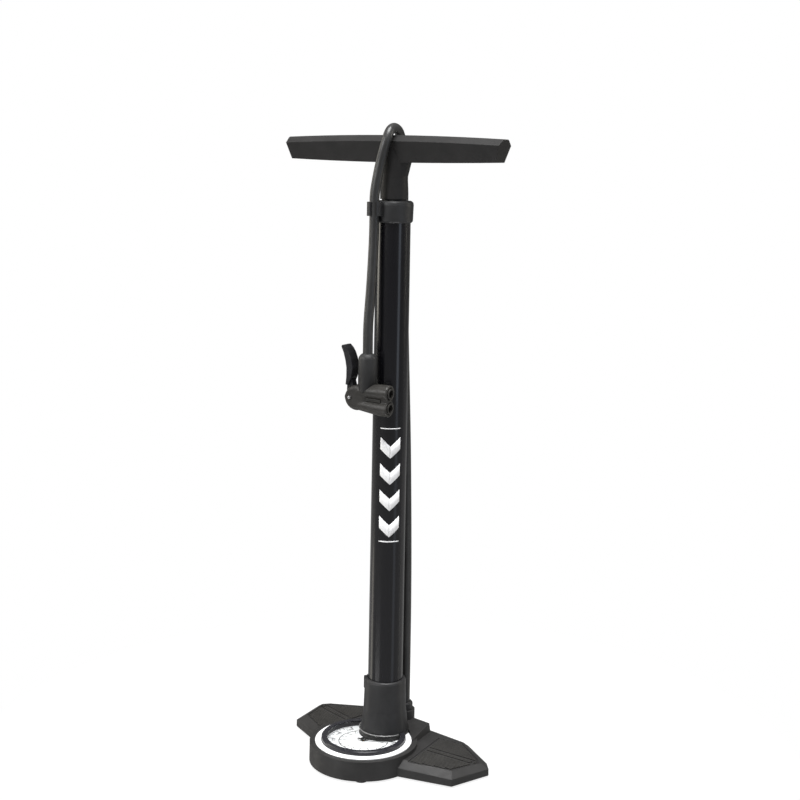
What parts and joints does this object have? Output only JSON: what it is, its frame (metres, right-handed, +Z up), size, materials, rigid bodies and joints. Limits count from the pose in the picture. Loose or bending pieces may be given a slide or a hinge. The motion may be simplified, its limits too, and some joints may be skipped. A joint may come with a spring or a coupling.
{
  "type": "floor bike pump",
  "caption": "Standing track pump with a gauge in its two-winged foot, a faceted T grip, a stowed hose and a lever-locked twin-outlet head.",
  "frame": {"origin": "where the axis of the barrel meets the floor, level with the underside of the rubber feet", "axes": "+Z up along the barrel and the plunger rod; +X towards the right foot wing; -Y towards the gauge, +Y towards the hose boss"},
  "size_m": [0.2466, 0.134, 0.6348],
  "materials": {
    "foot_plastic": "fine moulded satin",
    "pad_rubber": "matt",
    "zinc_steel": "bright",
    "socket_plastic": "satin",
    "barrel_paint": "gloss black powder coat",
    "white_nylon": "natural nylon",
    "seal_rubber": "smooth",
    "brass": "turned",
    "spring_steel": "bright",
    "dial_white": "printed card white",
    "bezel_plastic": "gloss",
    "lens_clear": "clear acrylic",
    "accent_white": "gloss white",
    "hose_rubber": "smooth satin",
    "head_plastic": "satin",
    "boot_rubber": "matt",
    "handle_plastic": "fine moulded satin",
    "rod_steel": "polished",
    "lever_plastic": "satin",
    "pointer_black": "matt"
  },
  "bodies": {
    "base": {"base_foot": "foot_plastic", "base_pads": "pad_rubber", "base_screws": "zinc_steel", "barrel_socket": "socket_plastic", "barrel_tube": "barrel_paint", "foot_plug": "white_nylon", "plug_seal": "seal_rubber", "check_valve_retainer": "brass", "check_valve_spring": "spring_steel", "top_collar": "socket_plastic", "rod_bush": "white_nylon", "gauge_cup": "foot_plastic", "gauge_dial": "dial_white", "gauge_bezel": "bezel_plastic", "gauge_lens": "lens_clear", "accent_ring": "accent_white", "bourdon_tube": "brass", "bourdon_block": "brass", "movement_plate": "brass", "hose_rear": "hose_rubber", "hose_front": "hose_rubber", "hose_nut": "socket_plastic", "hose_tail": "brass", "head_body": "head_plastic", "outlet_rings": "head_plastic", "outlet_grommets": "seal_rubber", "lever_pin": "zinc_steel", "head_boot": "boot_rubber", "head_barb": "brass"},
    "hose_loop": {"hose_loop": "hose_rubber"},
    "plunger": {"handle": "handle_plastic", "plunger_rod": "rod_steel", "piston_body": "white_nylon", "piston_cup": "seal_rubber", "piston_bolt": "zinc_steel", "top_bumper": "seal_rubber", "stem_bumper": "seal_rubber"},
    "lever": {"thumb_lever": "lever_plastic"},
    "cam": {"cam_slider": "white_nylon"},
    "pointer": {"gauge_pointer": "pointer_black", "gauge_pinion": "brass"},
    "sector": {"gauge_sector": "brass"},
    "check_valve": {"check_valve_disc": "seal_rubber"}
  },
  "joints": [
    {"name": "plunger_stroke", "type": "slide", "parent": "base", "child": "hose_loop", "axis": [0, 0, 1], "range_m": [0, 0.45]},
    {"name": "handle_turn", "type": "hinge", "parent": "hose_loop", "child": "plunger", "pos_m": [0, 0, 0.58], "axis": [0, 0, 1], "range_deg": [-7, 10]},
    {"name": "lever_swing", "type": "hinge", "parent": "base", "child": "lever", "pos_m": [-0.01907, -0.03427, 0.35973], "axis": [0.1994, -0.9799, 0], "range_deg": [0, 90], "stiffness_Nm_per_rad": 0.05},
    {"name": "cam_push", "type": "slide", "parent": "base", "child": "cam", "axis": [0.9796, 0.1993, -0.0262], "range_m": [0, 0.001]},
    {"name": "sector_swing", "type": "hinge", "parent": "base", "child": "sector", "pos_m": [0, -0.0526, 0.01], "axis": [0, 0, 1], "range_deg": [0, 29.38], "stiffness_Nm_per_rad": 0.002},
    {"name": "pointer_turn", "type": "hinge", "parent": "base", "child": "pointer", "pos_m": [0, -0.031, 0.02], "axis": [0, 0, -1], "range_deg": [0, 235.1]},
    {"name": "check_valve_lift", "type": "slide", "parent": "base", "child": "check_valve", "axis": [0, 0, -1], "range_m": [0, 0.0015], "stiffness_N_per_m": 300, "deforming": ["check_valve_spring"]}
  ],
  "couplings": [
    {"joint": "cam_push", "follows": "lever_swing", "m_per_rad": 0.00063662},
    {"joint": "pointer_turn", "follows": "sector_swing", "ratio": 8}
  ]
}
